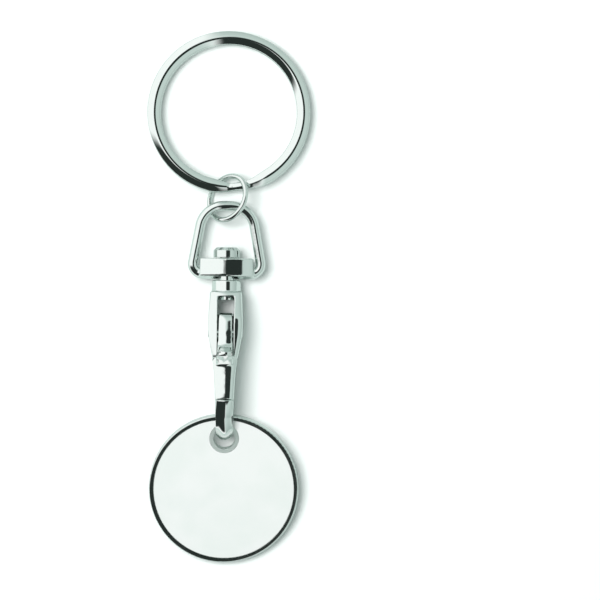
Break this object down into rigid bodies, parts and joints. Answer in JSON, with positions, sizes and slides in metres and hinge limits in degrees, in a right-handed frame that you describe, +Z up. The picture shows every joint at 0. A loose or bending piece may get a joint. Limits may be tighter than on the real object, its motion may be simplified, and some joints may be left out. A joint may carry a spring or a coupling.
{
  "type": "coin holder keyring",
  "caption": "Keyring with a split ring, a swivel trigger hook and a round trolley coin hung in the hook by its hole.",
  "frame": {"origin": "on the table, under the middle of the whole length", "axes": "+Y along the length from the coin to the split ring, +X to the right, +Z up from the table"},
  "size_m": [0.0254, 0.0828, 0.0099],
  "materials": {
    "hook_chrome": "bright nickel plate on a zinc casting",
    "gate_chrome": "bright nickel plate on a zinc casting",
    "pin_steel": "plated steel pin",
    "spring_steel": "drawn spring wire",
    "rivet_chrome": "bright nickel plate",
    "eye_chrome": "bright nickel plate on a zinc casting",
    "jump_ring_chrome": "bright plated wire",
    "split_ring_chrome": "bright plated spring wire",
    "coin_chrome": "bright plated rim",
    "coin_white": "smooth white enamel disc, plain for printing"
  },
  "bodies": {
    "hook": {"hook_body": "hook_chrome", "swivel_rivet": "rivet_chrome", "gate_pivot_pin": "pin_steel", "gate_spring": "spring_steel"},
    "gate": {"gate_lever": "gate_chrome"},
    "eye": {"swivel_eye": "eye_chrome"},
    "link": {"jump_ring": "jump_ring_chrome"},
    "ring": {"split_ring": "split_ring_chrome"},
    "coin": {"coin_blank": "coin_chrome", "coin_face_front": "coin_white", "coin_face_back": "coin_white"}
  },
  "joints": [
    {"name": "gate_pivot", "type": "hinge", "parent": "hook", "child": "gate", "pos_m": [0, -0.00575, 0.0053], "axis": [1, 0, 0], "range_deg": [0, 21], "stiffness_Nm_per_rad": 0.02, "springref_deg": -20.05, "deforming": ["gate_spring"]},
    {"name": "coin_swing", "type": "hinge", "parent": "hook", "child": "coin", "pos_m": [0, -0.01795, 0.00435], "axis": [-1, 0, 0], "range_deg": [0, 85]},
    {"name": "eye_swivel", "type": "hinge", "parent": "hook", "child": "eye", "pos_m": [0, 0.00267, 0.0032], "axis": [0, 1, 0], "continuous": true},
    {"name": "link_swing", "type": "hinge", "parent": "eye", "child": "link", "pos_m": [-0.00057, 0.01371, 0.0035], "axis": [0.966, -0.082, -0.245], "range_deg": [-75, 130]},
    {"name": "ring_swing", "type": "hinge", "parent": "link", "child": "ring", "pos_m": [0.00057, 0.01841, 0.00285], "axis": [0.5439, -0.8389, 0.022], "range_deg": [-95, 0]}
  ]
}
